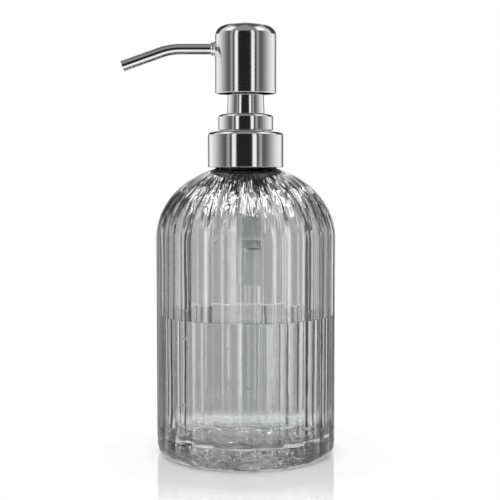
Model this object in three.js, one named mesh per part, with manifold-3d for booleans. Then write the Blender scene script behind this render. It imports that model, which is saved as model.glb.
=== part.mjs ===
// A fluted glass soap dispenser with a stainless-steel lotion pump.
// Millimetres, +Z up. The origin is the centre of the bottle's base, on the axis that the bottle,
// the collar and the pump share. The spout points along -X.
import * as THREE from "three";
import { mergeVertices } from "three/addons/utils/BufferGeometryUtils.js";
import Module from "manifold-3d";

const wasm = await Module();
wasm.setup();

// ---- Driving dimensions ----

const GAP = 0.3; // left between pieces that touch on the real object
const STROKE = 13; // travel of the head when it is pressed

const BOTTLE = {
  radius: 38.5, // over the crests of the ribs
  wall: 3,
  floor: 8, // thickness of the glass base
  baseCorner: 5.5,
  floorCorner: 6,
  shoulderStart: 92.3, // end of the straight wall
  shoulderRise: 31.6, // vertical half-axis of the elliptical shoulder
  ribs: 24,
  ribDepth: 0.9,
  ribPhase: -5.5, // degrees from -Y towards +X of one valley between two ribs
};
const NECK = { radius: 12.5, bore: 10.5, top: 132.2, chamfer: 0.5 };
const THREAD = { pitch: 4.233, height: 1.2, top: 129.4, bottleTurns: 1, collarTurns: 1.5 };

// Clamped between the bottle's neck and the top of the collar, from the bottom up.
const GASKET = { inner: 10.7, outer: 12.2, bottom: NECK.top + GAP, height: 1 };
const FLANGE = { radius: 12.2, bottom: GASKET.bottom + GASKET.height + GAP, height: 1.4 };
const INSERT = {
  radius: 15.5,
  threadRoot: 14.1,
  plateBottom: FLANGE.bottom + FLANGE.height + GAP,
  plate: 1.2,
};
const COLLAR = { radius: 16.5, wall: 0.7, height: 15.3, corner: 2, hole: 8.9 };
COLLAR.top = INSERT.plateBottom + INSERT.plate + GAP + COLLAR.wall;
COLLAR.bottom = COLLAR.top - COLLAR.height;

const RING = { radius: 12, wall: 0.7, height: 7, corner: 1.9, hole: 8.7, bottom: COLLAR.top + GAP };
const LOCK = { inner: 8.5, outer: 11, bottom: RING.bottom + GAP, height: 3.7 };
const SLEEVE = {
  bore: 7.2,
  rootRadius: 8.28,
  tipRadius: 7.8,
  top: 155,
  bottom: LOCK.bottom + LOCK.height + GAP,
  flange: 10.4,
  flangeHeight: 0.9,
};

const BARREL = { bore: 5.9, radius: 6.9, step: 93.2 }; // the pump's cylinder, above its inlet valve
const TAIL = { bottom: 72, radius: 4.6, socket: 3.3, socketTop: 86.3 }; // holds the dip tube
const INLET = { hole: 1.6, seatBottom: 87.2, seatTop: 88.4, chamber: 3.2 };
const HOUSING_NECK = { radius: 8.2, bore: 7, ledge: 134.6, top: 141.5 };

const STEM = { radius: 3.5, bore: 2, bottom: 120.6, top: 169.6, shoulder: 4.7, shoulderHeight: 1.2 };
const GUIDE = { bore: STEM.radius + GAP, bottom: 129.8, lowerRadius: 5.6, top: 141.2 };
const SEAT = { bottom: 116, radius: 5, rim: 1.6, coneRadius: 3, coneTop: 118.6, shank: 1.7 };
const PISTON = { radius: 5.6, waist: 4.9 };
const SPRING = { mean: 4.3, wire: 0.45, turns: 6.5 };
const RETAINER = { bottom: BARREL.step + GAP, height: 0.9, hole: 1.7, radius: 5.6 };
const BALL = { radius: 2.4 };
const DIP_TUBE = { radius: 3, bore: 2.1, bottom: 11.5, cut: 35 };

const HEAD = { radius: 13.3, wall: 0.8, bottom: 153.5, top: 183, corner: 7.7 };
const CORE = { radius: 12.2, top: 175.2, hub: 5.6, hubBottom: 157.5, socketTop: 170 };
CORE.bottom = SLEEVE.top + STROKE + 2 * GAP; // clears the sleeve at the end of the stroke
const SPOUT = {
  radius: 2.45,
  bore: 1.75,
  hole: 2.75,
  height: 172.3,
  start: -4.9,
  bendStart: -27.7,
  bendRadius: 25,
  droop: 19.5, // degrees below the horizontal after the bend
  lastLength: 17.3,
};
const FERRULE = { radius: 3.7, tip: 3.1, length: 1.6 };

// ---- Geometry helpers ----

const radians = THREE.MathUtils.degToRad;

// Points of an arc of a (radius, height) profile, from one angle to another in degrees.
function arc(centreR, centreZ, halfR, from, to, steps, halfZ = halfR) {
  return Array.from({ length: steps + 1 }, (_, i) => {
    const angle = radians(from + ((to - from) * i) / steps);
    return [centreR + halfR * Math.cos(angle), centreZ + halfZ * Math.sin(angle)];
  });
}

// A closed surface whose faces share their vertices, without the faces that welding flattens.
function weld(geometry) {
  geometry.deleteAttribute("normal");
  geometry.deleteAttribute("uv");
  const merged = mergeVertices(geometry, 1e-4);
  const index = merged.index.array;
  const kept = [];
  for (let i = 0; i < index.length; i += 3) {
    const [a, b, c] = index.slice(i, i + 3);
    if (a !== b && b !== c && c !== a) kept.push(a, b, c);
  }
  return merged.setIndex(kept);
}

// A solid of revolution about Z. Its profile runs up on the outside and down on the inside,
// either from the axis to the axis or round a closed ring.
function revolve(profile, segments, phase = 0) {
  const closed = profile[0][0] > 0 ? [...profile, profile[0]] : profile;
  const points = closed.map(([r, z]) => new THREE.Vector2(r, z));
  return weld(new THREE.LatheGeometry(points, segments, radians(phase)).rotateX(Math.PI / 2));
}

// A right-handed helix of a (radial, axial) section, wound down from its top end. Both ends taper.
function helix(section, radius, top, pitch, turns, stepsPerTurn, taper = 0) {
  const shape = new THREE.Shape(section.map(([r, z]) => new THREE.Vector2(r, z)));
  const steps = Math.round(turns * stepsPerTurn);
  const made = new THREE.ExtrudeGeometry(shape, { depth: 1, steps, bevelEnabled: false });
  const position = made.getAttribute("position");
  for (let i = 0; i < position.count; i += 1) {
    const along = position.getZ(i);
    const end = taper ? Math.min(1, Math.min(along, 1 - along) / taper) : 1;
    const size = 0.35 + 0.65 * end;
    const angle = -2 * Math.PI * turns * along;
    const reach = radius + position.getX(i) * size;
    const height = top - pitch * turns * along + position.getY(i) * size;
    position.setXYZ(i, reach * Math.cos(angle), reach * Math.sin(angle), height);
  }
  return weld(made);
}

function rodAlongX(radius, from, to, height, segments = 24) {
  const rod = new THREE.CylinderGeometry(radius, radius, to - from, segments);
  return weld(rod.rotateZ(-Math.PI / 2).translate((from + to) / 2, 0, height));
}

function rodAlongZ(radius, from, to, segments = 24) {
  const rod = new THREE.CylinderGeometry(radius, radius, to - from, segments);
  return weld(rod.rotateX(Math.PI / 2).translate(0, 0, (from + to) / 2));
}

function solidOf(geometry) {
  const vertProperties = new Float32Array(geometry.getAttribute("position").array);
  const triVerts = new Uint32Array(geometry.index.array);
  return new wasm.Manifold(new wasm.Mesh({ numProp: 3, vertProperties, triVerts }));
}

function geometryOf(solid) {
  const { vertProperties, triVerts } = solid.getMesh();
  return new THREE.BufferGeometry()
    .setAttribute("position", new THREE.BufferAttribute(vertProperties, 3))
    .setIndex(new THREE.BufferAttribute(triVerts, 1));
}

function cut(base, ...tools) {
  return geometryOf(tools.reduce((solid, tool) => solid.subtract(solidOf(tool)), solidOf(base)));
}

function join(base, ...others) {
  return geometryOf(others.reduce((solid, other) => solid.add(solidOf(other)), solidOf(base)));
}

// ---- Bottle ----

const smooth = (low, high, value) => THREE.MathUtils.smoothstep(value, low, high);

// Presses the valleys between the ribs into the outside of the bottle. They run out at the base
// and where the shoulder nears the neck.
function flute(geometry) {
  const position = geometry.getAttribute("position");
  const pitch = 360 / BOTTLE.ribs;
  for (let i = 0; i < position.count; i += 1) {
    const [x, y, z] = [position.getX(i), position.getY(i), position.getZ(i)];
    const r = Math.hypot(x, y);
    const angle = THREE.MathUtils.radToDeg(Math.atan2(x, -y)) - BOTTLE.ribPhase;
    const valley = 1 - Math.abs(Math.sin((Math.PI * angle) / pitch));
    const presence = smooth(19, 26, r) * smooth(0, BOTTLE.baseCorner, z);
    const depth = BOTTLE.ribDepth * valley * presence * (r / BOTTLE.radius);
    const scale = r > 0 ? (r - depth) / r : 1;
    position.setXYZ(i, x * scale, y * scale, z);
  }
  return geometry;
}

// The height of the shoulder's ellipse at radius r, for half-axes halfR and halfZ.
function shoulderHeight(r, halfR, halfZ) {
  return BOTTLE.shoulderStart + halfZ * Math.sqrt(1 - (r / halfR) ** 2);
}

// The angle on the shoulder's ellipse, in degrees, at which it meets the radius r.
function shoulderEnd(r, halfR) {
  return THREE.MathUtils.radToDeg(Math.acos(r / halfR));
}

function glassBottle() {
  const { radius, wall, floor, baseCorner, floorCorner, shoulderStart, shoulderRise } = BOTTLE;
  const outside = [
    [0, 0],
    ...arc(radius - baseCorner, baseCorner, baseCorner, -90, 0, 3),
    ...arc(0, shoulderStart, radius, 0, shoulderEnd(NECK.radius, radius), 8, shoulderRise),
    [NECK.radius, NECK.top - NECK.chamfer],
    [NECK.radius - NECK.chamfer, NECK.top],
    [0, NECK.top],
  ];
  const innerRadius = radius - wall;
  const innerRise = shoulderRise - wall;
  const cavity = [
    [0, floor],
    ...arc(innerRadius - floorCorner, floor + floorCorner, floorCorner, -90, 0, 3),
    ...arc(0, shoulderStart, innerRadius, 0, shoulderEnd(NECK.bore, innerRadius), 6, innerRise),
    [NECK.bore, NECK.top + 1],
    [0, NECK.top + 1],
  ];
  const ridge = [
    [-0.4, -1.2],
    [THREAD.height, -0.5],
    [THREAD.height, 0.5],
    [-0.4, 1.2],
  ];
  const body = flute(revolve(outside, BOTTLE.ribs * 3, BOTTLE.ribPhase));
  const thread = helix(ridge, NECK.radius, THREAD.top, THREAD.pitch, THREAD.bottleTurns, 24, 0.08);
  return cut(join(body, thread), revolve(cavity, 30));
}

function neckGasket() {
  const top = GASKET.bottom + GASKET.height;
  return revolve(
    [
      [GASKET.inner, GASKET.bottom],
      [GASKET.outer, GASKET.bottom],
      [GASKET.outer, top],
      [GASKET.inner, top],
    ],
    28,
  );
}

// ---- Collar ----

// A drawn-steel cap: a wall, a rounded corner and a top with a round hole.
function pressedCap({ radius, wall, corner, hole, bottom, top }, segments) {
  const centre = [radius - corner, top - corner];
  return revolve(
    [
      [radius - wall, bottom],
      [radius, bottom],
      ...arc(...centre, corner, 0, 90, 3),
      [hole, top],
      [hole, top - wall],
      ...arc(...centre, corner - wall, 90, 0, 2),
    ],
    segments,
  );
}

function collarInsert() {
  const { radius, threadRoot, plateBottom, plate } = INSERT;
  const bottom = COLLAR.bottom + GAP;
  const top = plateBottom + plate;
  const shell = revolve(
    [
      [threadRoot, bottom],
      [radius, bottom],
      [radius, top - 1.5],
      [radius - 0.9, top],
      [COLLAR.hole, top],
      [COLLAR.hole, plateBottom],
      [threadRoot, plateBottom],
    ],
    32,
  );
  const ridge = [
    [-1.05, -0.45],
    [0.4, -1.1],
    [0.4, 1.1],
    [-1.05, 0.45],
  ];
  // Tightened, its ridge bears on the underside of the bottle's, 1.7 mm below it. It starts half a
  // turn above the end of the bottle's, so both stay on one helix.
  const start = THREAD.top - 1.7;
  const extra = THREAD.collarTurns - THREAD.bottleTurns;
  const raised = start + THREAD.pitch * extra;
  const thread = helix(ridge, threadRoot, raised, THREAD.pitch, THREAD.collarTurns - 0.17, 24, 0.06);
  thread.rotateZ(2 * Math.PI * extra);
  return join(shell, thread);
}

// ---- Fixed parts of the pump ----

function lockCap() {
  const top = LOCK.bottom + LOCK.height;
  return revolve(
    [
      [LOCK.inner, LOCK.bottom],
      [LOCK.outer - 0.4, LOCK.bottom],
      [LOCK.outer, LOCK.bottom + 0.4],
      [LOCK.outer, top - 0.4],
      [LOCK.outer - 0.4, top],
      [LOCK.inner, top],
    ],
    28,
  );
}

function guideSleeve() {
  const { bore, rootRadius, tipRadius, top, bottom, flange, flangeHeight } = SLEEVE;
  return revolve(
    [
      [bore, bottom],
      [flange, bottom],
      [flange, bottom + flangeHeight],
      [rootRadius, bottom + flangeHeight],
      [tipRadius, top - 0.3],
      [tipRadius - 0.3, top],
      [bore, top],
    ],
    32,
  );
}

function pumpHousing() {
  return revolve(
    [
      [TAIL.socket, TAIL.bottom],
      [TAIL.radius, TAIL.bottom],
      [TAIL.radius, INLET.seatTop],
      [BARREL.radius, BARREL.step - 1.2],
      [BARREL.radius, FLANGE.bottom],
      [FLANGE.radius, FLANGE.bottom],
      [FLANGE.radius, FLANGE.bottom + FLANGE.height],
      [HOUSING_NECK.radius, FLANGE.bottom + FLANGE.height],
      [HOUSING_NECK.radius, HOUSING_NECK.top],
      [HOUSING_NECK.bore, HOUSING_NECK.top],
      [HOUSING_NECK.bore, HOUSING_NECK.ledge],
      [BARREL.bore, HOUSING_NECK.ledge],
      [BARREL.bore, BARREL.step],
      [INLET.chamber, BARREL.step],
      [INLET.chamber, INLET.seatTop],
      [INLET.hole, INLET.seatBottom],
      [INLET.hole, TAIL.socketTop],
      [TAIL.socket, TAIL.socketTop],
    ],
    24,
  );
}

function stemGuide() {
  const outer = HOUSING_NECK.bore - GAP;
  const ledge = HOUSING_NECK.ledge + GAP;
  return revolve(
    [
      [GUIDE.bore, GUIDE.bottom],
      [GUIDE.lowerRadius, GUIDE.bottom],
      [GUIDE.lowerRadius, ledge],
      [outer, ledge],
      [outer, GUIDE.top],
      [outer - 0.8, GUIDE.top],
      [outer - 0.8, GUIDE.top - 1.2],
      [GUIDE.bore, GUIDE.top - 1.2],
    ],
    24,
  );
}

function stemWiper() {
  const bottom = GUIDE.top - 1.2 + GAP;
  const outer = HOUSING_NECK.bore - GAP - 0.8 - GAP;
  return revolve(
    [
      [GUIDE.bore, bottom],
      [outer, bottom],
      [outer, bottom + 0.8],
      [GUIDE.bore + 0.8, bottom + 0.8],
      [GUIDE.bore + 0.3, bottom + 1.5],
      [GUIDE.bore, bottom + 1.5],
    ],
    24,
  );
}

function springSeat() {
  const top = RETAINER.bottom + RETAINER.height;
  return revolve(
    [
      [RETAINER.hole, RETAINER.bottom],
      [RETAINER.radius, RETAINER.bottom],
      [RETAINER.radius, top],
      [RETAINER.hole, top],
    ],
    20,
  );
}

function dipTube() {
  const { radius, bore, bottom, cut: cutAngle } = DIP_TUBE;
  const top = TAIL.socketTop - GAP;
  const tube = revolve(
    [
      [bore, bottom],
      [radius, bottom],
      [radius, top],
      [bore, top],
    ],
    16,
  );
  const knife = new THREE.BoxGeometry(20, 20, 10).translate(0, 0, -5);
  knife.rotateY(radians(cutAngle));
  knife.translate(radius, 0, bottom);
  return cut(tube, weld(knife));
}

// ---- Moving parts of the pump ----

function checkBall() {
  const flank = Math.atan2(INLET.seatTop - INLET.seatBottom, INLET.chamber - INLET.hole);
  // Height at which the ball stands GAP off the seat's cone.
  const reach = BALL.radius + GAP - INLET.hole * Math.sin(flank);
  const height = INLET.seatBottom + reach / Math.cos(flank);
  return weld(new THREE.SphereGeometry(BALL.radius, 14, 10).rotateX(Math.PI / 2).translate(0, 0, height));
}

function returnSpring() {
  const { mean, wire, turns } = SPRING;
  const section = arc(0, 0, wire, 0, 300, 5);
  const low = RETAINER.bottom + RETAINER.height + GAP + wire;
  const high = SEAT.bottom - GAP - wire;
  return helix(section, mean, high, (high - low) / turns, turns, 12);
}

function pistonSeat() {
  const { bottom, radius, rim, coneRadius, coneTop, shank } = SEAT;
  const shankTop = STEM.bottom + 5.4;
  const body = revolve(
    [
      [0, bottom],
      [radius, bottom],
      [radius, bottom + rim],
      [coneRadius, coneTop],
      [shank, coneTop],
      [shank, shankTop],
      [0, shankTop],
    ],
    24,
  );
  const slotBottom = coneTop + 0.8;
  const slot = new THREE.BoxGeometry(10, 1.2, shankTop + 1 - slotBottom);
  slot.translate(0, 0, (shankTop + 1 + slotBottom) / 2);
  return cut(body, weld(slot));
}

function piston() {
  const low = SEAT.bottom + SEAT.rim + GAP;
  return revolve(
    [
      [GUIDE.bore, low + 0.85],
      [PISTON.radius, low],
      [PISTON.radius, low + 1.9],
      [PISTON.waist, low + 2.7],
      [PISTON.waist, low + 6.2],
      [PISTON.radius, low + 7],
      [PISTON.radius, low + 8.7],
      [PISTON.radius - 0.5, low + 8.7],
      [PISTON.waist - 0.2, low + 7.5],
      [GUIDE.bore, low + 7.5],
    ],
    24,
  );
}

function pistonStem() {
  const { radius, bore, bottom, top, shoulder, shoulderHeight } = STEM;
  const shoulderTop = GUIDE.bottom - GAP;
  return revolve(
    [
      [bore, bottom],
      [radius, bottom],
      [radius, shoulderTop - shoulderHeight],
      [shoulder, shoulderTop - shoulderHeight],
      [shoulder, shoulderTop],
      [radius, shoulderTop],
      [radius, top],
      [bore, top],
    ],
    20,
  );
}

// ---- Head ----

function headShell() {
  const { radius, wall, bottom, top, corner } = HEAD;
  const centre = [radius - corner, top - corner];
  const dome = revolve(
    [
      [radius - wall, bottom],
      [radius, bottom],
      ...arc(...centre, corner, 0, 90, 6),
      [0, top],
      [0, top - wall],
      ...arc(...centre, corner - wall, 90, 0, 4),
      [radius - wall, bottom],
    ],
    40,
  );
  return cut(dome, rodAlongX(SPOUT.hole, -radius - 2, -radius + 4, SPOUT.height));
}

function headCore() {
  const { radius, bottom, top, hub, hubBottom, socketTop } = CORE;
  const socket = STEM.radius + GAP;
  const body = revolve(
    [
      [0, hubBottom],
      [hub, hubBottom],
      [hub, bottom],
      [radius, bottom],
      [radius, top],
      [0, top],
    ],
    32,
  );
  return cut(
    body,
    rodAlongZ(socket, hubBottom - 1, socketTop),
    rodAlongZ(STEM.bore, socketTop - 0.5, SPOUT.height, 16),
    rodAlongX(SPOUT.hole, -radius - 1, SPOUT.start + GAP, SPOUT.height),
    rodAlongX(SPOUT.bore, SPOUT.start, 0, SPOUT.height, 16),
  );
}

// The centre line of the spout: level out of the head, one bend, then straight to the tip.
class SpoutLine extends THREE.Curve {
  getPoint(t, target = new THREE.Vector3()) {
    const { start, bendStart, bendRadius, droop, lastLength, height } = SPOUT;
    const angle = radians(droop);
    const level = start - bendStart;
    const bend = bendRadius * angle;
    const along = t * (level + bend + lastLength);
    const turned = THREE.MathUtils.clamp((along - level) / bendRadius, 0, angle);
    const beyond = Math.max(0, along - level - bend);
    const out = Math.min(along, level) + bendRadius * Math.sin(turned) + beyond * Math.cos(angle);
    const down = bendRadius * (1 - Math.cos(turned)) + beyond * Math.sin(angle);
    return target.set(start - out, 0, height - down);
  }
}

function spoutTube() {
  const section = new THREE.Shape().absarc(0, 0, SPOUT.radius, 0, 2 * Math.PI);
  section.holes.push(new THREE.Path().absarc(0, 0, SPOUT.bore, 0, 2 * Math.PI, true));
  const extrudePath = new SpoutLine();
  return weld(new THREE.ExtrudeGeometry(section, { extrudePath, steps: 20, curveSegments: 5 }));
}

function spoutFerrule() {
  const { radius, tip, length } = FERRULE;
  const ring = revolve(
    [
      [SPOUT.hole, 0],
      [radius, 0],
      [radius, 0.5],
      [tip, length],
      [SPOUT.hole, length],
    ],
    20,
  );
  return ring.rotateY(-Math.PI / 2).translate(-HEAD.radius - GAP, 0, SPOUT.height);
}

// ---- The object ----

const GLASS = { color: 0x9a9ea0, roughness: 0.05, metalness: 0, transparent: true, opacity: 0.4 };
const STEEL = { color: 0xd0d2d4, roughness: 0.1, metalness: 1 };
const SPRING_STEEL = { color: 0xb0b3b6, roughness: 0.3, metalness: 1 };
const NATURAL_PLASTIC = { color: 0xe4e4e0, roughness: 0.5, metalness: 0 };
const WHITE_PLASTIC = { color: 0xf0f0ee, roughness: 0.4, metalness: 0 };
const BLACK_RUBBER = { color: 0x2a2a2c, roughness: 0.8, metalness: 0 };

const collarCap = { ...COLLAR };
const ringCap = { ...RING, top: RING.bottom + RING.height };

const PIECES = {
  glass_bottle: [glassBottle(), GLASS],
  neck_gasket: [neckGasket(), BLACK_RUBBER],
  collar_shell: [pressedCap(collarCap, 40), STEEL],
  collar_insert: [collarInsert(), WHITE_PLASTIC],
  upper_ring: [pressedCap(ringCap, 36), STEEL],
  lock_cap: [lockCap(), WHITE_PLASTIC],
  guide_sleeve: [guideSleeve(), STEEL],
  pump_housing: [pumpHousing(), NATURAL_PLASTIC],
  stem_guide: [stemGuide(), WHITE_PLASTIC],
  stem_wiper: [stemWiper(), BLACK_RUBBER],
  spring_seat: [springSeat(), WHITE_PLASTIC],
  dip_tube: [dipTube(), NATURAL_PLASTIC],
  check_ball: [checkBall(), STEEL],
  return_spring: [returnSpring(), SPRING_STEEL],
  piston_seat: [pistonSeat(), WHITE_PLASTIC],
  piston: [piston(), NATURAL_PLASTIC],
  piston_stem: [pistonStem(), WHITE_PLASTIC],
  head_shell: [headShell(), STEEL],
  head_core: [headCore(), WHITE_PLASTIC],
  spout_tube: [spoutTube(), STEEL],
  spout_ferrule: [spoutFerrule(), STEEL],
};

const dispenser = new THREE.Group();
for (const [name, [geometry, finish]] of Object.entries(PIECES)) {
  geometry.computeVertexNormals();
  const mesh = new THREE.Mesh(geometry, new THREE.MeshStandardMaterial(finish));
  mesh.name = name;
  dispenser.add(mesh);
}

export default dispenser;
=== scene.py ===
# A fluted glass soap dispenser with a stainless-steel lotion pump, in metres, around the CAD frame.
# Outlines are written in millimetres as (radius, height, fillet) and turned about the pump's axis.
import math

import bmesh
import bpy
import numpy as np
from mathutils import Matrix, Vector


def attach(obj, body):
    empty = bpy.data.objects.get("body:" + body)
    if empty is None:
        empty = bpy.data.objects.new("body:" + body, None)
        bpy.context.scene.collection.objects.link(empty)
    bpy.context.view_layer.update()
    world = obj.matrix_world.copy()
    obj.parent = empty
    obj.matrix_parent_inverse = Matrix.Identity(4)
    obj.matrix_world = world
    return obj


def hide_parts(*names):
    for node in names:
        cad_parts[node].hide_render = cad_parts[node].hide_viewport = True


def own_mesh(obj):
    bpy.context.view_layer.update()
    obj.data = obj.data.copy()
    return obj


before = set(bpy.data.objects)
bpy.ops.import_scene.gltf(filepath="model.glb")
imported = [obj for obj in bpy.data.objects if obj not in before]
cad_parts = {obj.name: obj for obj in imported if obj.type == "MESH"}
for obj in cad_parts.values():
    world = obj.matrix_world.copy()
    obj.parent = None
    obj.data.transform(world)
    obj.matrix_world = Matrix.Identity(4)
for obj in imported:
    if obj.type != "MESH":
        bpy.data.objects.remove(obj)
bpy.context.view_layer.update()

MM = 0.001

# ---- Camera ----

FOCAL = 81.0
DISTANCE = 481 * MM
EYE = 121 * MM
TILT = math.radians(4.03)

camera_data = bpy.data.cameras.new("camera")
camera_data.lens = FOCAL
camera = bpy.data.objects.new("camera", camera_data)
bpy.context.scene.collection.objects.link(camera)
camera.location = (1.7 * MM, -DISTANCE, EYE)
camera.rotation_euler = (math.pi / 2 - TILT, 0, 0)
bpy.context.scene.camera = camera
bpy.context.scene.view_settings.view_transform = "Standard"


# ---- Outlines ----


def rounded(corners, closed=True, step=9.0):
    """The outline through the corners, with an arc of the corner's third number in its place."""
    count = len(corners)
    out = []
    for i, corner in enumerate(corners):
        here = np.array(corner[:2], float)
        radius = corner[2] if len(corner) > 2 else 0.0
        if radius <= 0 or (not closed and i in (0, count - 1)):
            out.append(here)
            continue
        back = np.array(corners[i - 1][:2], float) - here
        ahead = np.array(corners[(i + 1) % count][:2], float) - here
        reach = min(np.linalg.norm(back), np.linalg.norm(ahead)) * 0.49
        back, ahead = back / np.linalg.norm(back), ahead / np.linalg.norm(ahead)
        turn = math.acos(float(np.clip(-(back @ ahead), -1, 1)))
        if turn < 0.01:
            out.append(here)
            continue
        cut = min(radius * math.tan(turn / 2), reach)
        radius = cut / math.tan(turn / 2)
        middle = (back + ahead) / np.linalg.norm(back + ahead)
        centre = here + middle * radius / math.cos(turn / 2)
        start, end = here + back * cut - centre, here + ahead * cut - centre
        steps = max(2, math.ceil(math.degrees(turn) / step))
        for k in range(steps + 1):
            t = k / steps * turn
            out.append(centre + (math.sin(turn - t) * start + math.sin(t) * end) / math.sin(turn))
    return out


def filled(points, longest=3.0, closed=True, edge=0.12):
    """The outline with points added along its long straight runs, two of them close to the ends."""
    out = []
    pairs = zip(points, points[1:] + points[:1]) if closed else zip(points, points[1:])
    for a, b in pairs:
        out.append(a)
        length = np.linalg.norm(b - a)
        if length < 6 * edge:
            continue
        steps = max(1, math.ceil((length - 2 * edge) / longest))
        for k in range(steps + 1):
            out.append(a + (b - a) * (edge + (length - 2 * edge) * k / steps) / length)
    if not closed:
        out.append(points[-1])
    return out


def ellipse(centre_z, half_r, half_z, start, end, steps):
    """Points of an ellipse centred on the axis, between two angles in degrees."""
    angles = np.radians(np.linspace(start, end, steps + 1))
    return [(half_r * math.cos(a), centre_z + half_z * math.sin(a)) for a in angles]


def smooth(low, high, value):
    t = np.clip((value - low) / (high - low), 0, 1)
    return t * t * (3 - 2 * t)


# ---- Meshes ----


def lathe(name, outline, segments=160, shape=None, crease=38, angles=None):
    """Turns an outline about Z. It runs up on the outside and down on the inside, and is a closed
    ring or starts and ends on the axis. shape(x, y, z) moves the points, in millimetres."""
    ring = outline[0][0] > 1e-6
    if angles is None:
        angles = np.linspace(0, 2 * math.pi, segments, endpoint=False)
    segments = len(angles)
    turned = np.stack([np.cos(angles), np.sin(angles)], axis=1)
    points, rows = [], []
    for r, z in outline:
        if r <= 1e-6:
            rows.append([len(points)] * segments)
            points.append((0.0, 0.0, z))
        else:
            rows.append(list(range(len(points), len(points) + segments)))
            points.extend((r * c, r * s, z) for c, s in turned)
    faces = []
    steps = len(rows) if ring else len(rows) - 1
    for i in range(steps):
        low, high = rows[i], rows[(i + 1) % len(rows)]
        for j in range(segments):
            k = (j + 1) % segments
            face = dict.fromkeys((low[j], low[k], high[k], high[j]))
            if len(face) > 2:
                faces.append(tuple(face))
    return mesh_object(name, np.array(points), faces, shape, crease)


def mesh_object(name, points, faces, shape=None, crease=38):
    if shape is not None:
        points = np.stack(shape(points[:, 0], points[:, 1], points[:, 2]), axis=1)
    mesh = bpy.data.meshes.new(name)
    mesh.from_pydata((points * MM).tolist(), [], faces)
    mesh.polygons.foreach_set("use_smooth", [True] * len(mesh.polygons))
    mesh.set_sharp_from_angle(angle=math.radians(crease))
    mesh.update()
    made = bpy.data.objects.new(name, mesh)
    bpy.context.scene.collection.objects.link(made)
    return made


def bored(target, radius, start, end, height):
    """Cuts a round hole along X through the target."""
    ring = [np.array(p) for p in ((0, 0), (radius, 0), (radius, end - start), (0, end - start))]

    def lie(x, y, z):
        return start + z, x, y + height

    tool = lathe("hole_tool", ring, 96, lie)
    cutter = target.modifiers.new("hole", "BOOLEAN")
    cutter.operation = "DIFFERENCE"
    cutter.solver = "EXACT"
    cutter.object = tool
    graph = bpy.context.evaluated_depsgraph_get()
    mesh = bpy.data.meshes.new_from_object(target.evaluated_get(graph), depsgraph=graph)
    target.modifiers.clear()
    target.data = mesh
    mesh.set_sharp_from_angle(angle=math.radians(38))
    bpy.data.objects.remove(tool)
    return target


# ---- Materials ----


def node(tree, kind, inputs=None, **settings):
    made = tree.nodes.new(kind)
    for key, value in settings.items():
        setattr(made, key, value)
    for key, value in (inputs or {}).items():
        if isinstance(value, bpy.types.NodeSocket):
            tree.links.new(value, made.inputs[key])
        else:
            made.inputs[key].default_value = value
    return made


def material(name):
    made = bpy.data.materials.new(name)
    made.use_nodes = True
    tree = made.node_tree
    return made, tree, tree.nodes["Principled BSDF"]


def noise(tree, scale, detail=3.0, stretch=(1, 1, 1), roughness=0.5):
    """A noise over the object's own space, with scale in cells a metre."""
    spot = tree.nodes.new("ShaderNodeTexCoord").outputs["Object"]
    sized = node(tree, "ShaderNodeMapping", {"Vector": spot, "Scale": stretch})
    inputs = {"Vector": sized.outputs[0], "Scale": scale, "Detail": detail, "Roughness": roughness}
    return node(tree, "ShaderNodeTexNoise", inputs).outputs["Fac"]


def spread(tree, value, low, high, start=0.3, end=0.7):
    """Maps the middle of a noise onto the range from low to high."""
    inputs = {"Value": value, "From Min": start, "From Max": end, "To Min": low, "To Max": high}
    return node(tree, "ShaderNodeMapRange", inputs).outputs[0]


def mixed(tree, factor, first, second):
    """Goes from one plain colour to another as the factor rises."""
    mix = node(tree, "ShaderNodeMix", {0: factor}, data_type="RGBA")
    mix.inputs[6].default_value = (*first, 1)
    mix.inputs[7].default_value = (*second, 1)
    return mix.outputs[2]


def bump(tree, height, strength, distance, normal=None):
    """A bump of a depth in metres, on top of another bump if one is given."""
    inputs = {"Height": height, "Strength": strength, "Distance": distance}
    if normal is not None:
        inputs["Normal"] = normal
    return node(tree, "ShaderNodeBump", inputs).outputs[0]


def steel(name, tone, low, high, turned=(1, 1, 60), lines=0.04):
    """Polished stainless steel: smudges and hairline polishing marks."""
    made, tree, shader = material(name)
    smudge = noise(tree, 70, 5, roughness=0.6)
    hair = noise(tree, 110, 4, turned, 0.65)
    shader.inputs["Metallic"].default_value = 1
    worn = tuple(c * 0.94 for c in tone)
    tree.links.new(mixed(tree, spread(tree, smudge, 0, 1), tone, worn), shader.inputs["Base Color"])
    patch = spread(tree, smudge, low, high)
    fine = spread(tree, hair, 0.0, 0.035)
    total = node(tree, "ShaderNodeMath", {0: patch, 1: fine}, operation="ADD").outputs[0]
    tree.links.new(total, shader.inputs["Roughness"])
    tree.links.new(bump(tree, hair, lines, 0.00004), shader.inputs["Normal"])
    return made


def plastic(name, first, second, low, high, transmission=0.0, ior=1.46, grain=900):
    """Moulded plastic or rubber: a slightly uneven colour and a fine grain."""
    made, tree, shader = material(name)
    broad = noise(tree, 55, 4)
    fine = noise(tree, grain, 3, roughness=0.6)
    tree.links.new(mixed(tree, spread(tree, broad, 0, 1), first, second), shader.inputs["Base Color"])
    tree.links.new(spread(tree, fine, low, high), shader.inputs["Roughness"])
    shader.inputs["Transmission Weight"].default_value = transmission
    shader.inputs["IOR"].default_value = ior
    tree.links.new(bump(tree, fine, 0.15, 0.00005), shader.inputs["Normal"])
    return made


def times(tree, first, second):
    """The product of two values."""
    return node(tree, "ShaderNodeMath", {0: first, 1: second}, operation="MULTIPLY").outputs[0]


def toward(tree, factor, first, second):
    """Goes from the colour that a socket gives to one plain colour as the factor rises."""
    mix = node(tree, "ShaderNodeMix", {0: factor, 6: first}, data_type="RGBA")
    mix.inputs[7].default_value = (*second, 1)
    return mix.outputs[2]


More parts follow.
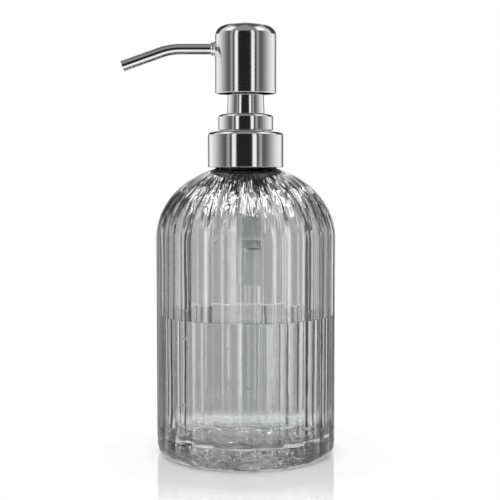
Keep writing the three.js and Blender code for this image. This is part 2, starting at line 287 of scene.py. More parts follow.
def glass():
    """Smoke-grey pressed glass, rippled on the shoulder and round the base, with painted shade: darker
    edge-on, near-black at the neck, thin dark lines on the shoulder and dark patches in the foot.
    """
    made, tree, shader = material("pressed_glass")
    broad = noise(tree, 60, 2)
    ripple = noise(tree, 260, 2, (1, 1, 0.25))
    spot = tree.nodes.new("ShaderNodeTexCoord").outputs["Object"]
    height = node(tree, "ShaderNodeSeparateXYZ", {0: spot}).outputs[2]
    on_shoulder = spread(tree, height, 0, 1, 0.094, 0.106)
    at_foot = spread(tree, height, 1, 0, 0.003, 0.009)
    over_floor = spread(tree, height, 0, 1, 0.009, 0.014)
    shader.inputs["Transmission Weight"].default_value = 1
    shader.inputs["IOR"].default_value = 1.5
    tint = mixed(tree, spread(tree, broad, 0, 1), (0.83, 0.834, 0.838), (0.805, 0.81, 0.815))
    facing = node(tree, "ShaderNodeLayerWeight", {"Blend": 0.5}).outputs["Facing"]
    # Partly real and partly painted shade: above the foot the tint goes near-black edge-on. A longer path
    # darkens real glass there, but this much darkness is painted shade on the rims.
    edge_on_shade = times(tree, spread(tree, facing, 0, 1, 0.46, 0.72), over_floor)
    tint = toward(tree, edge_on_shade, tint, (0.09, 0.091, 0.092))

    # Streaks that run up the shoulder to the neck: noise by direction, stretched along the height.
    compass = node(tree, "ShaderNodeVectorMath", {0: spot, 1: (1, 1, 0)}, operation="MULTIPLY")
    compass = node(tree, "ShaderNodeVectorMath", {0: compass.outputs[0]}, operation="NORMALIZE")
    climb = node(tree, "ShaderNodeCombineXYZ", {2: times(tree, height, 6.0)})
    inputs = {0: compass.outputs[0], 1: climb.outputs[0]}
    run = node(tree, "ShaderNodeVectorMath", inputs, operation="ADD")
    inputs = {"Vector": run.outputs[0], "Scale": 11.0, "Detail": 1.0}
    streaks = node(tree, "ShaderNodeTexNoise", inputs).outputs["Fac"]
    # Painted shade at the neck: above a streaky line at about 116 to 122 mm the tint goes near-black.
    uneven = node(tree, "ShaderNodeMath", {0: times(tree, streaks, 0.012), 1: height}, operation="ADD")
    painted_neck_shade = spread(tree, uneven.outputs[0], 0, 1, 0.1155, 0.1225)
    tint = toward(tree, painted_neck_shade, tint, (0.09, 0.091, 0.092))

    # Painted shade: thin dark lines on the shoulder, along the middle tone of a coarser noise, stronger
    # edge-on.
    inputs = {"Vector": run.outputs[0], "Scale": 9.0, "Detail": 0.5}
    shoulder_shade_noise = node(tree, "ShaderNodeTexNoise", inputs).outputs["Fac"]
    off = node(tree, "ShaderNodeMath", {0: shoulder_shade_noise, 1: 0.5}, operation="SUBTRACT")
    off = node(tree, "ShaderNodeMath", {0: off.outputs[0]}, operation="ABSOLUTE")
    lines = times(tree, spread(tree, off.outputs[0], 1, 0, 0.012, 0.035), on_shoulder)
    lines = times(tree, lines, spread(tree, facing, 0.25, 1, 0.2, 0.5))
    tint = toward(tree, lines, tint, (0.07, 0.071, 0.072))

    # Painted shade: uneven dark patches in the thick foot, in place of its uneven refraction.
    whorl = noise(tree, 230, 1, (1, 1, 2.4), 0.5)
    painted_foot_shade = times(tree, at_foot, spread(tree, whorl, 0.15, 0.85, 0.4, 0.56))
    tint = toward(tree, painted_foot_shade, tint, (0.33, 0.332, 0.335))
    tree.links.new(tint, shader.inputs["Base Color"])
    tree.links.new(spread(tree, ripple, 0.0, 0.015), shader.inputs["Roughness"])
    wavy = bump(tree, broad, 0.3, 0.0004)
    wavy = bump(tree, times(tree, streaks, on_shoulder), 0.8, 0.0018, wavy)
    wavy = bump(tree, times(tree, whorl, at_foot), 0.65, 0.002, wavy)
    tree.links.new(bump(tree, ripple, 0.1, 0.0001, wavy), shader.inputs["Normal"])
    smoke = node(tree, "ShaderNodeVolumeAbsorption")
    smoke.inputs["Color"].default_value = (0.75, 0.756, 0.76, 1)
    smoke.inputs["Density"].default_value = 18
    tree.links.new(smoke.outputs[0], tree.nodes["Material Output"].inputs["Volume"])
    return made


def soap():
    """Clear soap, with less refraction than real soap so that the ribs show on through it."""
    made, tree, shader = material("liquid_soap")
    swirl = noise(tree, 90, 3)
    shader.inputs["Transmission Weight"].default_value = 1
    shader.inputs["IOR"].default_value = 1.26
    tint = mixed(tree, spread(tree, swirl, 0, 1), (0.97, 0.975, 0.975), (0.95, 0.955, 0.96))
    tree.links.new(tint, shader.inputs["Base Color"])
    tree.links.new(spread(tree, swirl, 0.0, 0.01), shader.inputs["Roughness"])
    tree.links.new(bump(tree, swirl, 0.1, 0.0003), shader.inputs["Normal"])
    return made


STEEL = steel("polished_steel", (0.83, 0.835, 0.84), 0.05, 0.09)
SPOUT_STEEL = steel("spout_steel", (0.83, 0.835, 0.84), 0.06, 0.1, (60, 1, 1))
SPRING_STEEL = steel("spring_wire", (0.6, 0.61, 0.63), 0.22, 0.34, (1, 1, 1), 0.1)
BALL_STEEL = steel("ground_ball", (0.78, 0.79, 0.8), 0.05, 0.1, (1, 1, 1))
WHITE = plastic("white_moulding", (0.84, 0.84, 0.82), (0.79, 0.79, 0.77), 0.3, 0.45)
NATURAL = plastic("natural_moulding", (0.98, 0.985, 0.98), (0.95, 0.96, 0.95), 0.4, 0.55, 0.84, 1.06)
CLEAR = plastic("clear_tubing", (0.99, 0.99, 0.99), (0.97, 0.975, 0.975), 0.0, 0.05, 1.0, 1.05)
RUBBER = plastic("rubber", (0.02, 0.02, 0.021), (0.035, 0.035, 0.036), 0.6, 0.8, grain=1500)
GLASS = glass()
SOAP = soap()


def place(piece, body, finish, slot, *nodes):
    """Puts a finished piece on its body, in place of the CAD nodes that it stands for."""
    piece.data.materials.clear()
    piece.data.materials.append(finish)
    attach(piece, body)
    if nodes:
        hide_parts(*nodes)
    return piece


# ---- Bottle ----

RIBS, RIB_DEPTH, RIB_PHASE = 24, 0.9, -5.5
BOTTLE_R, WALL = 38.4, 2.9
SHOULDER_Z, SHOULDER_H = 92.3, 31.6
NECK_R, BORE_R, NECK_TOP = 12.5, 10.5, 132.2
FLOOR_Z = 8.0


def rib_wave(x, y):
    """1 in the valley between two ribs, and 0 on their round crests."""
    angle = np.degrees(np.arctan2(x, -y)) - RIB_PHASE
    across = np.abs(np.mod(angle / (360 / RIBS) + 0.5, 1) - 0.5)
    return np.maximum(0, 1 - 2 * np.sqrt(across**2 + 0.0002)) ** 2


def ripples(x, y, z, size):
    """A small irregular wave with no pattern to it, between about -1 and 1."""
    a = np.sin(x / size + 1.7 * np.sin(y / size * 0.71 + 0.4) + 0.9 * np.sin(z / size * 1.3))
    b = np.sin(y / size * 1.13 + 1.4 * np.sin(z / size * 0.83 + 1.1) + 1.2 * np.sin(x / size * 0.57))
    return 0.5 * (a + b)


def thread_height(x, y, z, top, pitch, turns, crest, root, taper):
    """How far a ridge wound down from its top end stands out at a point, from 0 to 1."""
    angle = np.mod(-np.arctan2(y, x), 2 * np.pi) / (2 * np.pi)
    height = np.zeros_like(z)
    for turn in range(math.ceil(turns)):
        along = angle + turn
        off = np.abs(z - (top - pitch * along))
        ridge = np.clip((root - off) / (root - crest), 0, 1)
        ridge = ridge * ridge * (3 - 2 * ridge)
        ends = smooth(0, taper, along) * smooth(0, taper, turns - along)
        height = np.maximum(height, ridge * ends)
    return height


def bottle_shape(x, y, z):
    r = np.hypot(x, y)
    safe = np.maximum(r, 1e-9)
    side = np.arange(len(r)) < bottle_outer_points
    presence = smooth(19, 26, r) * smooth(0, 5.5, z)
    depth = RIB_DEPTH * rib_wave(x, y) * presence * (r / BOTTLE_R)
    neck = side & (z > 124)
    ridge = 1.2 * thread_height(x, y, z, 129.4, 4.233, 1.0, 0.5, 1.15, 0.06)
    inner = 0.1 * ripples(x, y, z * 0.4, 6) - 0.3 * rib_wave(x, y) * smooth(15, 26, r)
    inner += 0.16 * ripples(x, y, z * 0.5, 1.9) * smooth(98, 110, z)
    inner = inner * smooth(12, 16, r)
    base = (0.22 * ripples(x, y, z, 2.8) + 0.13 * ripples(y, x, z, 0.9)) * smooth(9, 3, z) * smooth(10, 20, r)
    radial = np.where(side, np.where(neck, ridge, -depth - np.abs(base)), -inner)
    scale = np.where(r > 0.01, (r + radial) / safe, 1)
    lift = np.where(~side & (z < 20), 0.25 * ripples(x, y, z, 5) * smooth(34, 24, r), 0)
    return x * scale, y * scale, z + lift


def shoulder_end(r, half):
    return math.degrees(math.acos(r / half))


outer = rounded(
    [
        (0, 1.1),
        (24, 0.9, 3),
        (29.5, 0, 2),
        (BOTTLE_R, 0, 5.5),
        (BOTTLE_R, 30),
    ],
    closed=False,
    step=4,
)[:-1]
wall_rows = [np.array((BOTTLE_R, z)) for z in np.linspace(6.2, SHOULDER_Z, 34)]
dome = ellipse(SHOULDER_Z, BOTTLE_R, SHOULDER_H, 0, shoulder_end(NECK_R + 0.6, BOTTLE_R), 40)
outer = filled(outer, 0.8, closed=False) + wall_rows + [np.array(p) for p in dome[1:]]
outer += [np.array(p) for p in ((NECK_R + 0.15, 122.9), (NECK_R, 123.6))]
outer += [np.array((NECK_R, z)) for z in np.arange(124.2, 131.0, 0.22)]
lip = rounded([(NECK_R, 131.0), (NECK_R, NECK_TOP, 0.9), (BORE_R, NECK_TOP, 0.9), (BORE_R, 130.5)], False)
inner_r = BOTTLE_R - WALL
top_dome = ellipse(SHOULDER_Z, inner_r, SHOULDER_H - WALL, shoulder_end(BORE_R + 0.4, inner_r), 0, 36)
inside = [np.array((BORE_R, z)) for z in (129, 126, 123, 121)] + [np.array(p) for p in top_dome]
inside += [np.array((inner_r, z)) for z in np.linspace(90, 14.5, 30)]
well = rounded([(inner_r, 20), (inner_r, FLOOR_Z, 6), (14, FLOOR_Z, 4), (0, FLOOR_Z + 0.7)], False, 7.5)
inside += filled(well[1:], 2.0, closed=False)
# Close together in the valleys, and wider apart on the crests.
in_rib = 0.5 - 0.5 * np.cos(np.linspace(0, math.pi, 13))[:-1]
rib_angles = np.radians(RIB_PHASE - 90 + (np.arange(RIBS)[:, None] + in_rib) * 360 / RIBS).ravel()
SEGMENTS = len(rib_angles)
bottle_outline = outer + lip + inside
bottle_outer_points = 1 + (len(outer) - 1 + 6) * SEGMENTS
bottle = lathe("bottle_body", bottle_outline, SEGMENTS, bottle_shape, 60, rib_angles)
place(bottle, "bottle", GLASS, "clear_glass", "glass_bottle")

# ---- Liquid ----

LEVEL = 59.7
OVERLAP = 0.12


def liquid_shape(x, y, z):
    r = np.hypot(x, y)
    safe = np.maximum(r, 1e-9)
    inner = 0.1 * ripples(x, y, z * 0.4, 6) - 0.3 * rib_wave(x, y) * smooth(15, 26, r)
    inner = inner * smooth(12, 16, r) * smooth(30, 34, r)
    scale = np.where(r > 0.01, (r - inner) / safe, 1)
    lift = np.where(z < 20, 0.25 * ripples(x, y, z, 5) * smooth(34, 24, r), 0)
    swell = np.where(z > LEVEL - 1, 0.12 * ripples(x, y, z * 0, 9), 0)
    return x * scale, y * scale, z + lift + swell


wet_r = inner_r + OVERLAP
low = [(0, FLOOR_Z + 0.7 - OVERLAP), (14, FLOOR_Z - OVERLAP, 4), (wet_r, FLOOR_Z - OVERLAP, 6), (wet_r, 20)]
liquid_outline = filled(rounded(low, False, 7.5), 2.0, closed=False)
liquid_outline += [np.array((wet_r, z)) for z in np.linspace(21, LEVEL, 16)]
meniscus = [(wet_r - 1.6 * t, LEVEL + 0.4 * (1 - t) ** 3) for t in np.linspace(0, 1, 8)]
liquid_outline += [np.array(p) for p in meniscus]
liquid_outline += [np.array((r, LEVEL)) for r in (30, 25, 20, 15, 10, 5, 2, 0)]
liquid = lathe("liquid", liquid_outline, SEGMENTS, liquid_shape, 60, rib_angles)

# Small bubbles that cling near the front: angle round the axis, distance from it, height, radius.
BUBBLES = [
    (-46, 33.4, 52.5, 0.5), (-43.5, 33.6, 48.6, 0.4), (-12.5, 33.5, 49.8, 0.5), (-2, 33.0, 42.2, 0.55),
    (2, 33.2, 33.8, 0.6), (-20, 33.6, 34.2, 0.35), (-46, 33.4, 25, 0.5), (-14.5, 32.8, 14.8, 0.7),
    (-76, 33.8, 43, 0.45), (-9, 33.0, 16.8, 0.5), (17, 33.1, 18.2, 0.55), (22, 33.4, 17.4, 0.45),
]
filling = bmesh.new()
filling.from_mesh(liquid.data)
for azimuth, away, height, size in BUBBLES:
    a = math.radians(azimuth)
    spot = Matrix.Translation(Vector((away * math.sin(a), -away * math.cos(a), height)) * MM)
    made = bmesh.ops.create_icosphere(filling, subdivisions=3, radius=size * MM, matrix=spot)
    round_faces = list({face for vertex in made["verts"] for face in vertex.link_faces})
    bmesh.ops.reverse_faces(filling, faces=round_faces)
    for face in round_faces:
        face.smooth = True
filling.to_mesh(liquid.data)
filling.free()
place(liquid, "bottle", SOAP, "clear_glass")

# ---- Steel parts ----


def turned_piece(name, corners, body, finish, slot, node_name, segments=160, shape=None, longest=3.0):
    outline = filled(rounded(corners), longest)
    return place(lathe(name, outline, segments, shape), body, finish, slot, node_name)


turned_piece(
    "collar_cap",
    [
        (15.8, 122.4, 0.2),
        (16.5, 122.4, 0.3),
        (16.5, 137.7, 2.0),
        (8.9, 137.7, 0.3),
        (8.9, 137.0, 0.2),
        (15.8, 137.0, 1.3),
    ],
    "collar",
    STEEL,
    "polished_steel",
    "collar_shell",
    192,
)
turned_piece(
    "step_ring",
    [
        (11.3, 138.0, 0.2),
        (12.0, 138.0, 0.3),
        (12.0, 145.0, 1.9),
        (8.7, 145.0, 0.3),
        (8.7, 144.3, 0.2),
        (11.3, 144.3, 1.2),
    ],
    "pump_body",
    STEEL,
    "polished_steel",
    "upper_ring",
    160,
)
turned_piece(
    "sleeve",
    [
        (7.2, 142.3, 0.1),
        (10.4, 142.3, 0.15),
        (10.4, 143.2, 0.3),
        (8.28, 143.2, 0.4),
        (7.8, 154.9, 0.5),
        (7.2, 154.9, 0.1),
    ],
    "pump_body",
    STEEL,
    "polished_steel",
    "guide_sleeve",
    128,
)

HEAD_R, HEAD_TOP, HEAD_LOW, HEAD_WALL = 13.3, 183.0, 153.5, 0.8
head_outline = filled(
    rounded(
        [
            (0, HEAD_TOP),
            (0, HEAD_TOP - HEAD_WALL),
            (HEAD_R - HEAD_WALL, HEAD_TOP - HEAD_WALL, 6.9),
            (HEAD_R - HEAD_WALL, HEAD_LOW, 0.25),
            (HEAD_R, HEAD_LOW, 0.3),
            (HEAD_R, HEAD_TOP - 0.55, 7.7),
            (3.2, HEAD_TOP - 0.02, 12),
        ][1:]
        + [(0, HEAD_TOP)],
        False,
        4.5,
    ),
    2.0,
    closed=False,
)
head = lathe("head_dome", head_outline, 192)
SPOUT_Z, SPOUT_R, SPOUT_BORE = 172.3, 2.45, 1.75
bored(head, 2.75, -HEAD_R - 2, -HEAD_R + 4, SPOUT_Z)
place(head, "head", STEEL, "polished_steel", "head_shell")

SPOUT_START, BEND_START, BEND_R = -4.9, -27.7, 25.0
DROOP, LAST = math.radians(19.5), 17.3
LEVEL_RUN = SPOUT_START - BEND_START
SPOUT_LENGTH = LEVEL_RUN + BEND_R * DROOP + LAST


def spout_shape(x, y, z):
    """Bends a tube that stands on Z along the spout's line."""
    turn = np.clip((z - LEVEL_RUN) / BEND_R, 0, DROOP)
    beyond = np.maximum(0, z - LEVEL_RUN - BEND_R * DROOP)
    out = np.minimum(z, LEVEL_RUN) + BEND_R * np.sin(turn) + beyond * math.cos(DROOP)
    down = BEND_R * (1 - np.cos(turn)) + beyond * math.sin(DROOP)
    return SPOUT_START - out - x * np.sin(turn), y, SPOUT_Z - down + x * np.cos(turn)


turned_piece(
    "spout",
    [
        (SPOUT_BORE, 0, 0.1),
        (SPOUT_R, 0, 0.1),
        (SPOUT_R, SPOUT_LENGTH, 0.18),
        (SPOUT_BORE, SPOUT_LENGTH, 0.18),
    ],
    "head",
    SPOUT_STEEL,
    "polished_steel",
    "spout_tube",
    64,
    spout_shape,
    1.0,
)


def ferrule_shape(x, y, z):
    """Lays the ferrule along -X, with its foot hollowed to the head's side."""
    hug = HEAD_R + 0.05 - np.sqrt(HEAD_R**2 - x * x)
    return -HEAD_R - 0.05 - z + hug * smooth(0.8, 0.0, z), x, y + SPOUT_Z


turned_piece(
    "ferrule",
    [(2.55, 0, 0.05), (3.35, 0, 0.15), (3.1, 0.5, 0.3), (2.85, 1.5, 0.2), (2.55, 1.5, 0.1)],
    "head",
    SPOUT_STEEL,
    "polished_steel",
    "spout_ferrule",
    96,
    ferrule_shape,
    0.3,
)

# ---- Plastic and rubber parts ----

turned_piece(
    "gasket",
    [(10.7, 132.5, 0.2), (12.2, 132.5, 0.2), (12.2, 133.5, 0.2), (10.7, 133.5, 0.2)],
    "gasket",
    RUBBER,
    "black_rubber",
    "neck_gasket",
    128,
)


def insert_thread(x, y, z):
    r = np.hypot(x, y)
    inside_wall = (r < 14.15) & (z < 135)
    ridge = 1.05 * thread_height(-x, -y, z, 129.8165, 4.233, 1.33, 0.45, 1.1, 0.06)
    scale = np.where(inside_wall, (r - ridge) / r, 1)
    return x * scale, y * scale, z


insert = [
    (14.1, 122.7, 0.3),
    (15.5, 122.7, 0.2),
    (15.5, 136.7, 1.0),
    (8.9, 136.7, 0.2),
    (8.9, 135.5, 0.2),
    (14.1, 135.5, 0.3),
]
turned_piece(
    "collar_liner", insert, "collar", WHITE, "white_plastic", "collar_insert", 144, insert_thread, 0.3
)
turned_piece(
    "lock_ring",
    [(8.5, 138.3, 0.2), (11, 138.3, 0.4), (11, 142, 0.4), (8.5, 142, 0.2)],
    "pump_body",
    WHITE,
    "white_plastic",
    "lock_cap",
    128,
)
turned_piece(
    "housing",
    [
        (3.3, 72, 0.1),
        (4.6, 72, 0.2),
        (4.6, 88.4, 0.5),
        (6.9, 92.0, 0.8),
        (6.9, 133.8, 0.3),
        (12.2, 133.8, 0.2),
        (12.2, 135.2, 0.2),
        (8.2, 135.2, 0.3),
        (8.2, 141.5, 0.2),
        (7.0, 141.5, 0.1),
        (7.0, 134.6, 0.1),
        (5.9, 134.6, 0.1),
        (5.9, 93.2, 0.1),
        (3.2, 93.2, 0.1),
        (3.2, 88.4, 0.1),
        (1.6, 87.2, 0.1),
        (1.6, 86.3, 0.1),
        (3.3, 86.3, 0.1),
    ],
    "pump_body",
    NATURAL,
    "natural_plastic",
    "pump_housing",
    96,
)
turned_piece(
    "guide",
    [
        (3.8, 129.8, 0.1),
        (5.6, 129.8, 0.1),
        (5.6, 134.9, 0.1),
        (6.7, 134.9, 0.1),
        (6.7, 141.2, 0.2),
        (5.9, 141.2, 0.2),
        (5.9, 140.0, 0.1),
        (3.8, 140.0, 0.1),
    ],
    "pump_body",
    WHITE,
    "white_plastic",
    "stem_guide",
    96,
)
turned_piece(
    "wiper",
    [
        (3.8, 140.3, 0.1),
        (5.6, 140.3, 0.1),
        (5.6, 141.1, 0.15),
        (4.6, 141.1, 0.2),
        (4.1, 141.8, 0.1),
        (3.8, 141.8, 0.05),
    ],
    "pump_body",
    RUBBER,
    "black_rubber",
    "stem_wiper",
    96,
)
turned_piece(
    "spring_washer",
    [(1.7, 93.5, 0.15), (5.6, 93.5, 0.15), (5.6, 94.4, 0.15), (1.7, 94.4, 0.15)],
    "pump_body",
    WHITE,
    "white_plastic",
    "spring_seat",
    96,
)


def cut_foot(x, y, z):
    """Slants the foot of the dip tube by 35 degrees."""
    slant = 11.5 + (3 - x) * math.tan(math.radians(35))
    low_end = smooth(20, 11.5, z)
    return x, y, z + (slant - 11.5) * low_end


turned_piece(
    "dip_pipe",
    [(2.1, 11.5, 0.1), (3.0, 11.5, 0.15), (3.0, 86, 0.15), (2.1, 86, 0.1)],
    "pump_body",
    CLEAR,
    "natural_plastic",
    "dip_tube",
    64,
    cut_foot,
)
turned_piece(
    "plunger_stem",
    [
        (2.0, 120.6, 0.1),
        (3.5, 120.6, 0.2),
        (3.5, 128.3, 0.2),
        (4.7, 128.3, 0.15),
        (4.7, 129.5, 0.15),
        (3.5, 129.5, 0.2),
        (3.5, 169.6, 0.3),
        (2.0, 169.6, 0.2),
    ],
    "plunger",
    WHITE,
    "white_plastic",
    "piston_stem",
    96,
)
seat_corners = [
    (0, 116.0),
    (5, 116.0, 0.2),
    (5, 117.6, 0.2),
    (3, 118.6, 0.2),
    (1.7, 118.6, 0.2),
    (1.7, 126.0, 0.3),
    (0, 126.0),
]
seat = lathe("valve_seat", filled(rounded(seat_corners, False), closed=False), 96)
place(seat, "plunger", WHITE, "white_plastic", "piston_seat")
turned_piece(
    "piston_cup",
    [
        (3.8, 118.75, 0.1),
        (5.6, 117.9, 0.15),
        (5.6, 119.8, 0.2),
        (4.9, 120.6, 0.3),
        (4.9, 124.1, 0.3),
        (5.6, 124.9, 0.2),
        (5.6, 126.6, 0.1),
        (5.1, 126.6, 0.1),
        (4.7, 125.4, 0.2),
        (3.8, 125.4, 0.1),
    ],
    "piston_sleeve",
    NATURAL,
    "natural_plastic",
    "piston",
    96,
)
core_corners = [
    (0, 175.2),
    (0, 170.0),
    (3.8, 170.0, 0.2),
    (3.8, 157.5, 0.2),
    (5.6, 157.5, 0.3),
    (5.6, 168.6, 0.3),
    (12.2, 168.6, 0.3),
    (12.2, 175.2, 0.6),
    (0, 175.2),
]
core = lathe("head_liner", filled(rounded(core_corners[1:], False), closed=False), 96)
place(core, "head", WHITE, "white_plastic", "head_core")
ball_arc = [(2.4 * math.sin(a), 89.375 - 2.4 * math.cos(a)) for a in np.linspace(0, math.pi, 33)]
ball_arc[-1] = (0.0, 89.375 + 2.4)
ball = lathe("inlet_ball", [np.array(p) for p in ball_arc], 64)
place(ball, "inlet_ball", BALL_STEEL, "ball_steel", "check_ball")

# ---- Return spring ----

SPRING_LOW, SPRING_HIGH, WIRE, MEAN = 94.7, 115.7, 0.45, 4.3


def spring_shape(x, y, z):
    """Winds a straight wire that stands on Z into a spring with closed ends; z is in turns."""
    along = z / 8.5
    rise = np.interp(along, [0, 0.09, 0.14, 0.86, 0.91, 1], [0, 0.035, 0.09, 0.91, 0.965, 1])
    height = SPRING_LOW + WIRE + rise * (SPRING_HIGH - SPRING_LOW - 2 * WIRE)
    angle = 2 * np.pi * z
    reach = MEAN + x
    return reach * np.cos(angle), reach * np.sin(angle), height + y


wire_rows = np.linspace(0.004, 8.496, 420)
wire_line = [(0, 0), (WIRE * 0.8, 0)] + [(WIRE, z) for z in wire_rows] + [(WIRE * 0.8, 8.5), (0, 8.5)]
spring = lathe("coil_spring", [np.array(p, float) for p in wire_line], 14, spring_shape)
place(spring, "pump_body", SPRING_STEEL, "spring_steel", "return_spring")
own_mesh(spring)

# ---- Floor ----

# The floor fades out between these distances from the axis, in metres.
FADE_FROM, FADE_TO = 0.042, 0.1

floor_rings = [np.array((r, 0.0)) for r in (0, 60, 140, 260, 420, 640)]
floor = lathe("floor", floor_rings[::-1] + [np.array((0, -0.5))], 96, lambda x, y, z: (x, y, z - 0.06))
floor_material, tree, shader = material("studio_floor")
grain = noise(tree, 40, 4)
tree.links.new(mixed(tree, grain, (0.93, 0.93, 0.93), (0.9, 0.9, 0.9)), shader.inputs["Base Color"])
tree.links.new(spread(tree, grain, 0.02, 0.045), shader.inputs["Roughness"])
shader.inputs["IOR"].default_value = 1.8
spot = tree.nodes.new("ShaderNodeTexCoord").outputs["Object"]
from_axis = node(tree, "ShaderNodeVectorMath", {0: spot}, operation="LENGTH").outputs["Value"]
fade_range = {"Value": from_axis, "From Min": FADE_FROM, "From Max": FADE_TO, "To Min": 1, "To Max": 0}
fade = node(tree, "ShaderNodeMapRange", fade_range, interpolation_type="SMOOTHSTEP")
tree.links.new(fade.outputs[0], shader.inputs["Alpha"])
floor.data.materials.append(floor_material)
floor.visible_transmission = False
floor.visible_glossy = False

# ---- Studio ----


# Each part of the studio fades in over its first two angles and out over its last two. The turns
# are degrees from the front, the same to the left and right, and the rises are above the horizon.
# STUDIO_TURN sets the whole studio a little to one side.
STUDIO_TURN = 5
STRIP_TURN = (22, 27, 34, 39)
PANEL_TURN = (40, 47, 51, 57)
CLOTH_TURN = (-10, -5, 50, 56)
SIDE_FLAG_TURN = (128, 143, 148, 155)
BACK_TURN = (153, 157, 185, 190)
BACK_MIDDLE_TURN = (162, 172, 185, 190)
WALL_FROM, WALL_TO = 55, 125
OVERHEAD_RISE = (42, 70, 100, 110)
FRONT_GLOW_TURN, FRONT_GLOW_RISE = (-10, -5, 38, 56), (24, 38, 84, 95)
SOFTBOX_TURN, SOFTBOX_RISE = (50, 60, 84, 96), (27, 36, 56, 68)
HIGH_FLAG_TURN, HIGH_FLAG_RISE = (106, 118, 150, 160), (9, 15, 46, 58)
FLOOR_RISE, FLOOR_POOL_RISE = (-100, -95, -19, -8), (-68, -38, -28, 0)

# Light of each part, where the white backdrop is 1. What shows through glass has its own light.
STRIP, PANEL, OVERHEAD, FRONT_GLOW, SOFTBOX, HIGH_FLAG = 1.05, 0.4, 0.11, 0.3, 1.25, 0.06
FLOOR_DARK, FLOOR_BRIGHT = 0.2, 1.1
MATT_LIGHT, BACKDROP = 1.3, 1.0
REFLECTED = {"wall": (0.1, 1.0), "cloth": 0.02, "flag": 0.2, "back": 1.1, "middle": 1.15}
THROUGH = {"wall": (0.12, 0.44), "cloth": 0.05, "flag": 0.1, "back": 1.05, "middle": 0.6}


world = bpy.data.worlds.new("studio")
bpy.context.scene.world = world
world.use_nodes = True
tree = world.node_tree
tree.nodes.clear()
way = tree.nodes.new("ShaderNodeTexCoord").outputs["Generated"]
axes = node(tree, "ShaderNodeSeparateXYZ", {0: way})
back_y = node(tree, "ShaderNodeMath", {0: axes.outputs[1], 1: -1.0}, operation="MULTIPLY")
turn = node(tree, "ShaderNodeMath", {0: axes.outputs[0], 1: back_y.outputs[0]}, operation="ARCTAN2")
turned = node(tree, "ShaderNodeMath", {0: turn.outputs[0], 1: math.radians(STUDIO_TURN)}, operation="ADD")
half = node(tree, "ShaderNodeMath", {0: turned.outputs[0]}, operation="ABSOLUTE")

rise = node(tree, "ShaderNodeMath", {0: axes.outputs[2]}, operation="ARCSINE")


def between(value, start, full, last, end):
    """1 from full to last, fading to 0 at start and at end."""
    rising = {"Value": value, "From Min": start, "From Max": full}
    falling = {"Value": value, "From Min": last, "From Max": end, "To Min": 1, "To Max": 0}
    up = node(tree, "ShaderNodeMapRange", rising, interpolation_type="SMOOTHSTEP")
    down = node(tree, "ShaderNodeMapRange", falling, interpolation_type="SMOOTHSTEP")
    return times(tree, up.outputs[0], down.outputs[0])


def blend(factor, first, second):
    """Goes from the colour first to the grey light second as the factor rises."""
    mix = node(tree, "ShaderNodeMix", {0: factor, 6: first}, data_type="RGBA")
    if isinstance(second, bpy.types.NodeSocket):
        tree.links.new(second, mix.inputs[7])
    else:
        mix.inputs[7].default_value = (second, second, second, 1)
    return mix.outputs[2]


def around(turns):
    """1 inside a range of turns from the front."""
    return between(half.outputs[0], *(math.radians(angle) for angle in turns))


def upward(rises):
    """1 inside a range of rises above the horizon."""
    return between(rise.outputs[0], *(math.radians(angle) for angle in rises))


def walls(light):
    """Walls that brighten towards the back, with black cloth, strips and panels at the front."""
    inputs = {
        "Value": half.outputs[0],
        "From Min": math.radians(WALL_FROM),
        "From Max": math.radians(WALL_TO),
        "To Min": light["wall"][0],
        "To Max": light["wall"][1],
    }
    room = node(tree, "ShaderNodeMapRange", inputs, interpolation_type="SMOOTHSTEP").outputs[0]
    room = blend(around(CLOTH_TURN), room, light["cloth"])
    room = blend(around(STRIP_TURN), room, STRIP)
    room = blend(around(PANEL_TURN), room, PANEL)
    room = blend(around(SIDE_FLAG_TURN), room, light["flag"])
    room = blend(around(BACK_TURN), room, light["back"])
    return blend(around(BACK_MIDDLE_TURN), room, light["middle"])


path = tree.nodes.new("ShaderNodeLightPath")
studio = blend(path.outputs["Is Transmission Ray"], walls(REFLECTED), walls(THROUGH))
ground = node(tree, "ShaderNodeMix", {0: upward(FLOOR_POOL_RISE)}, data_type="RGBA")
ground.inputs[6].default_value = (FLOOR_DARK, FLOOR_DARK, FLOOR_DARK, 1)
ground.inputs[7].default_value = (FLOOR_BRIGHT, FLOOR_BRIGHT, FLOOR_BRIGHT, 1)
studio = blend(upward(FLOOR_RISE), studio, ground.outputs[2])
studio = blend(upward(OVERHEAD_RISE), studio, OVERHEAD)
studio = blend(times(tree, around(FRONT_GLOW_TURN), upward(FRONT_GLOW_RISE)), studio, FRONT_GLOW)
studio = blend(times(tree, around(SOFTBOX_TURN), upward(SOFTBOX_RISE)), studio, SOFTBOX)
studio = blend(times(tree, around(HIGH_FLAG_TURN), upward(HIGH_FLAG_RISE)), studio, HIGH_FLAG)
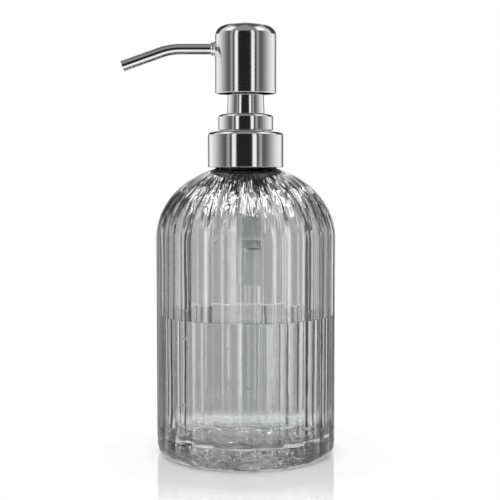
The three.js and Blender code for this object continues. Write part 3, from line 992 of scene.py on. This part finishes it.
studio = blend(path.outputs["Is Diffuse Ray"], studio, MATT_LIGHT)
studio = blend(path.outputs["Is Camera Ray"], studio, BACKDROP)
sky = node(tree, "ShaderNodeBackground", {0: studio, 1: 1.0})
output = node(tree, "ShaderNodeOutputWorld", {0: sky.outputs[0]})
world.cycles.sampling_method = "NONE"

# Narrow strip lights that only the bottle and its liquid see, aimed at its shoulder.
AIM = Vector((0, 0, 0.1))
HIGH_STRIPS = ((-52, 55), (-24, 66), (30, 64), (58, 52))
LONG_STRIPS, LONG_FRONT, LONG_HEIGHT = (-0.5, -0.2, 0.22, 0.52), -0.1, 0.75
lit = bpy.data.collections.new("lit_glass")
bpy.context.scene.collection.children.link(lit)
for piece in (bottle, liquid):
    lit.objects.link(piece)


def strip_light(name, width, length, radiance, spot, turn):
    """A strip light of a size in metres, as bright per area whatever its size."""
    data = bpy.data.lights.new(name, "AREA")
    data.shape = "RECTANGLE"
    data.size, data.size_y = width, length
    data.energy = radiance * math.pi * width * length
    made = bpy.data.objects.new(name, data)
    bpy.context.scene.collection.objects.link(made)
    made.location, made.rotation_euler = spot, turn
    made.light_linking.receiver_collection = lit


def aimed_strip(name, azimuth, elevation, reach, width, length, radiance):
    """A strip light that stands away from the aim in a direction in degrees, and faces it."""
    a, e = math.radians(azimuth), math.radians(elevation)
    away = Vector((math.sin(a) * math.cos(e), -math.cos(a) * math.cos(e), math.sin(e)))
    turn = away.to_track_quat("Z", "Y").to_euler()
    strip_light(name, width, length, radiance, AIM + away * reach, turn)


for i, (azimuth, elevation) in enumerate(HIGH_STRIPS):
    aimed_strip(f"high_strip_{i}", azimuth, elevation, 0.7, 0.05, 0.5, 24)
for i, side in enumerate(LONG_STRIPS):
    lean = math.atan2(side, LONG_HEIGHT - AIM.z)
    strip_light(f"long_strip_{i}", 0.055, 1.4, 19, (side, LONG_FRONT, LONG_HEIGHT), (0, lean, 0))
aimed_strip("left_strip", -32, 12, 0.9, 0.09, 0.9, 3)
aimed_strip("right_strip", 30, 12, 0.9, 0.09, 0.9, 3)
